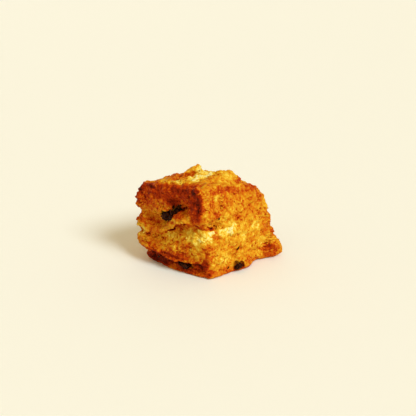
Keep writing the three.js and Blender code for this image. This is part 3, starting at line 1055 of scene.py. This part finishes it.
def dried_skin(net, smooth, fold):
    """Folds that draw a smooth fruit in between rounded ridges."""
    place = net.node("GeometryNodeInputPosition") / MM
    folds = abs(net.noise(place, 2.6, 1.5, distortion=1.0) * 4.0 - 2.0)
    pucker = net.noise(place, 1.0, 1.0) - 0.5
    push = (net.clamp(folds, 0.0, 1.0) - 0.72 + pucker * 0.4) * fold
    values = {"Geometry": smooth, "Offset": net.node("GeometryNodeInputNormal") * push * MM}
    return net.node("GeometryNodeSetPosition", None, values)


def raisin_tree(material):
    """A packed raisin, rounded off and folded."""
    tree, net, given = geometry_tree("raisin", "Fruit", raisin_sizes)
    rounded = net.node("GeometryNodeSubdivisionSurface", None, {"Mesh": given["Fruit"], "Level": 3})
    finish_tree(net, dried_skin(net, rounded, given["Fold"]), material)
    return tree


def bit_tree(material, crust):
    """Small dark bits set on the crust at the given points, half sunk in it."""
    tree, net, given = geometry_tree("bits", "Places", bit_sizes)
    place = net.node("GeometryNodeInputPosition") / MM
    on_crust = nearest(net, object_mesh(net, crust), place) * MM
    points = net.node("GeometryNodeSetPosition", None, {"Geometry": given["Places"], "Position": on_crust})
    bits = net.node(
        "GeometryNodeInstanceOnPoints",
        None,
        {
            "Points": points,
            "Instance": small_ball(net, 4),
            "Rotation": any_turn(net, 1),
            "Scale": named(net, "across") * net.random((1.1, 0.7, 0.7), (1.6, 1.0, 0.9), 2),
        },
    )
    whole = net.node("GeometryNodeRealizeInstances", None, {"Geometry": bits})
    finish_tree(net, dried_skin(net, whole, given["Fold"]), material)
    return tree


def bit_points():
    mesh = bpy.data.meshes.new("bit places")
    mesh.from_pydata([tuple(value * MM for value in place) for place, _ in bit_places], [], [])
    across = mesh.attributes.new("across", "FLOAT", "POINT")
    across.data.foreach_set("value", [size for _, size in bit_places])
    return linked("bit places", mesh)


def raisin_material():
    material = bpy.data.materials.new("dried fruit")
    material.use_nodes = True
    material.node_tree.nodes.clear()
    net = Net(material.node_tree)
    place = net.node("ShaderNodeTexCoord", None, None, "Object") / MM
    bloom = net.step(net.noise(place, 1.4, 2.0, 0.6), 0.45, 0.75)
    colour = net.node(
        "ShaderNodeValToRGB",
        {"stops": [(0.0, (0.014, 0.003, 0.001, 1)), (1.0, (0.12, 0.025, 0.006, 1))]},
        {"Fac": bloom},
    )
    grain = {"Strength": 0.7, "Distance": 0.25 * MM, "Height": net.noise(place, 0.5, 2.0)}
    bump = net.node("ShaderNodeBump", None, grain, "Normal")
    shader = net.node(
        "ShaderNodeBsdfPrincipled",
        None,
        {"Base Color": colour, "Roughness": 0.26 + bloom * 0.3, "Specular IOR Level": 0.05, "Normal": bump},
    )
    net.node("ShaderNodeOutputMaterial", None, {"Surface": shader})
    return material


# ---------- Table, light and camera ----------

# The floor is flat to this far from the middle, and then sweeps up by this radius, in metres.
FLAT_FLOOR = 2.6
COVE_RADIUS = 1.0

paper = bpy.data.materials.new("paper")
paper.use_nodes = True
paper.node_tree.nodes["Principled BSDF"].inputs["Base Color"].default_value = (0.92, 0.92, 0.88, 1)
paper.node_tree.nodes["Principled BSDF"].inputs["Roughness"].default_value = 0.7


def cove():
    """A wide round floor whose rim sweeps up all round, so that low views end on it."""
    sides = 96
    steps = 8
    profile = [(0.4, 0.0), (FLAT_FLOOR, 0.0)]
    for step in range(1, steps + 1):
        angle = step * pi / (2 * steps)
        profile.append((FLAT_FLOOR + COVE_RADIUS * sin(angle), COVE_RADIUS * (1 - cos(angle))))
    points = [(0.0, 0.0, 0.0)]
    for radius, height in profile:
        for side in range(sides):
            angle = 2 * pi * side / sides
            points.append((radius * cos(angle), radius * sin(angle), height))
    faces = [(0, 1 + side, 1 + (side + 1) % sides) for side in range(sides)]
    for ring in range(len(profile) - 1):
        start = 1 + ring * sides
        for side in range(sides):
            following = (side + 1) % sides
            faces.append((start + side, start + sides + side, start + sides + following, start + following))
    mesh = bpy.data.meshes.new("floor")
    mesh.from_pydata(points, [], faces)
    mesh.shade_smooth()
    mesh.materials.append(paper)
    return linked("floor", mesh)


cove()

world = bpy.data.worlds.new("studio")
world.use_nodes = True
world.node_tree.nodes["Background"].inputs["Color"].default_value = (1.0, 0.82, 0.50, 1)
world.node_tree.nodes["Background"].inputs["Strength"].default_value = 0.60
bpy.context.scene.world = world
bpy.context.scene.view_settings.view_transform = "Standard"


def sun(name, azimuth, elevation, angle, strength, colour):
    """A far lamp; azimuth 0 is over the right wall, and a wide angle softens its shadows."""
    lamp = bpy.data.lights.new(name, "SUN")
    lamp.angle = radians(angle)
    lamp.energy = strength
    lamp.color = colour
    lamp = linked(name, lamp)
    way = Vector(
        (
            cos(radians(azimuth)) * cos(radians(elevation)),
            sin(radians(azimuth)) * cos(radians(elevation)),
            sin(radians(elevation)),
        )
    )
    lamp.rotation_euler = way.to_track_quat("Z", "Y").to_euler()


sun("key", azimuth=4, elevation=42, angle=24, strength=2.36, colour=(0.90, 0.98, 1.0))

CAMERA_AZIMUTH = 47.4
CAMERA_ELEVATION = 22.2
CAMERA_PLACE = Vector((337.60, -311.18, 215.14)) * MM
lens = bpy.data.cameras.new("camera")
lens.lens = 80
lens.sensor_width = 36
lens.clip_start = 0.01
camera = linked("camera", lens)
camera.location = CAMERA_PLACE
camera.rotation_euler = (radians(90 - CAMERA_ELEVATION), 0, radians(CAMERA_AZIMUTH))
bpy.context.scene.camera = camera

# ---------- The pieces ----------

raisin_nodes = [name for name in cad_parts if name.startswith("raisin")]
packed_body = merged_copy("packed body", "scone_body")
packed_raisins = merged_copy("packed raisins", *raisin_nodes)
split_sheets = sheets_of("splits", splits, before=1.5, narrowest=0.1)
flap_sheets = sheets_of("flaps", flaps, before=0.0, narrowest=0.6)
dough = dough_material()
crust_shape = crust_tree(dough, packed_raisins, split_sheets, flap_sheets)
crust = grown("crust", packed_body, crust_shape, relief_heights)
thinned(crust, MOST_TRIANGLES)
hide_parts("scone_body")

crumbs = grown("crumbs", crust, crumb_tree(dough), crumb_sizes)
flake = flake_mesh()
flakes = grown("flakes", crust, flake_tree(dough, flake), flake_sizes)
for piece in (crust, crumbs, flakes):
    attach(piece, "root")

dried_fruit = raisin_material()
bit_spots = bit_points()
bits = grown("dark_bits", bit_spots, bit_tree(dried_fruit, crust), bit_sizes)
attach(bits, "root")
wrinkled = raisin_tree(dried_fruit)
for node in raisin_nodes:
    packed = merged_copy("packed " + node, node)
    fruit = grown(node.replace("raisin", "fruit"), packed, wrinkled, raisin_sizes)
    bpy.data.objects.remove(packed)
    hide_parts(node)
    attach(fruit, "root")
for helper in (packed_body, packed_raisins, split_sheets, flap_sheets, flake, bit_spots):
    bpy.data.objects.remove(helper)
